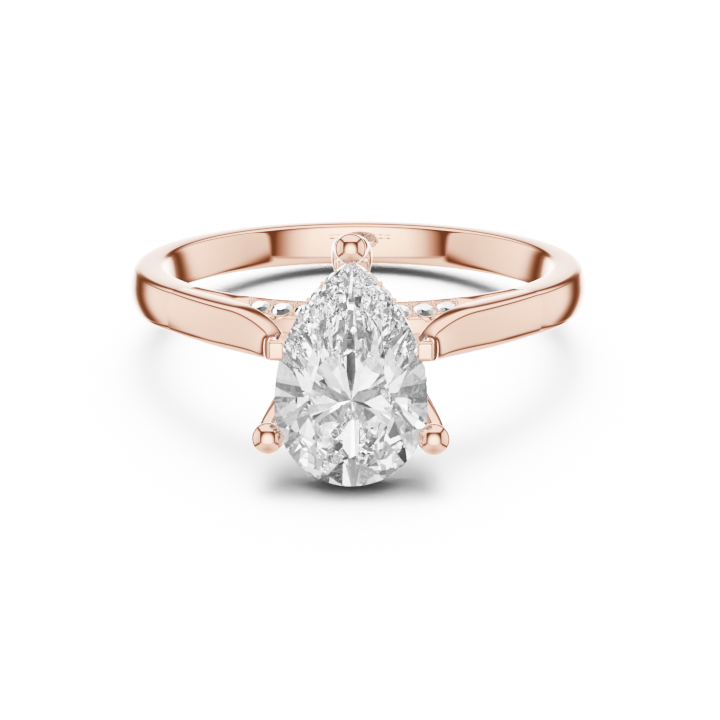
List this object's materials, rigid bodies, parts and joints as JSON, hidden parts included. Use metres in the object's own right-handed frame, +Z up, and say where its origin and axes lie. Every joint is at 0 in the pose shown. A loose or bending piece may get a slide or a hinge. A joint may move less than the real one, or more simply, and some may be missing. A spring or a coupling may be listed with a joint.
{
  "type": "engagement ring",
  "caption": "Rose gold finger ring with a pear-cut stone held by ball prongs and side tabs between two arms that sweep up from a plain band, over a stone-set bridge and hidden halo.",
  "frame": {"origin": "centre of the finger hole, in the middle of the band's width", "axes": "the ring lies as it rests on a table: +Z up, +X across the hand, -Y towards the centre stone, finger axis tipped 12.8 degrees from +Z towards +Y"},
  "size_m": [0.0194, 0.0231, 0.0103],
  "materials": {
    "rose_gold": "polished 14 karat rose gold",
    "diamond": "polished colourless brilliant cut"
  },
  "bodies": {
    "root": {"arm_left": "rose_gold", "arm_right": "rose_gold", "bridge": "rose_gold", "centre_stone": "diamond", "halo_rail": "rose_gold", "melee_bridge_lower_left_1": "diamond", "melee_bridge_lower_left_2": "diamond", "melee_bridge_lower_left_3": "diamond", "melee_bridge_lower_right_1": "diamond", "melee_bridge_lower_right_2": "diamond", "melee_bridge_lower_right_3": "diamond", "melee_bridge_upper_left_1": "diamond", "melee_bridge_upper_left_2": "diamond", "melee_bridge_upper_left_3": "diamond", "melee_bridge_upper_right_1": "diamond", "melee_bridge_upper_right_2": "diamond", "melee_bridge_upper_right_3": "diamond", "melee_halo_left_1": "diamond", "melee_halo_left_10": "diamond", "melee_halo_left_2": "diamond", "melee_halo_left_3": "diamond", "melee_halo_left_4": "diamond", "melee_halo_left_5": "diamond", "melee_halo_left_6": "diamond", "melee_halo_left_7": "diamond", "melee_halo_left_8": "diamond", "melee_halo_left_9": "diamond", "melee_halo_right_1": "diamond", "melee_halo_right_10": "diamond", "melee_halo_right_2": "diamond", "melee_halo_right_3": "diamond", "melee_halo_right_4": "diamond", "melee_halo_right_5": "diamond", "melee_halo_right_6": "diamond", "melee_halo_right_7": "diamond", "melee_halo_right_8": "diamond", "melee_halo_right_9": "diamond", "prong_lower_left": "rose_gold", "prong_lower_right": "rose_gold", "prong_tip": "rose_gold", "shank": "rose_gold", "tab_left": "rose_gold", "tab_right": "rose_gold"}
  },
  "joints": []
}
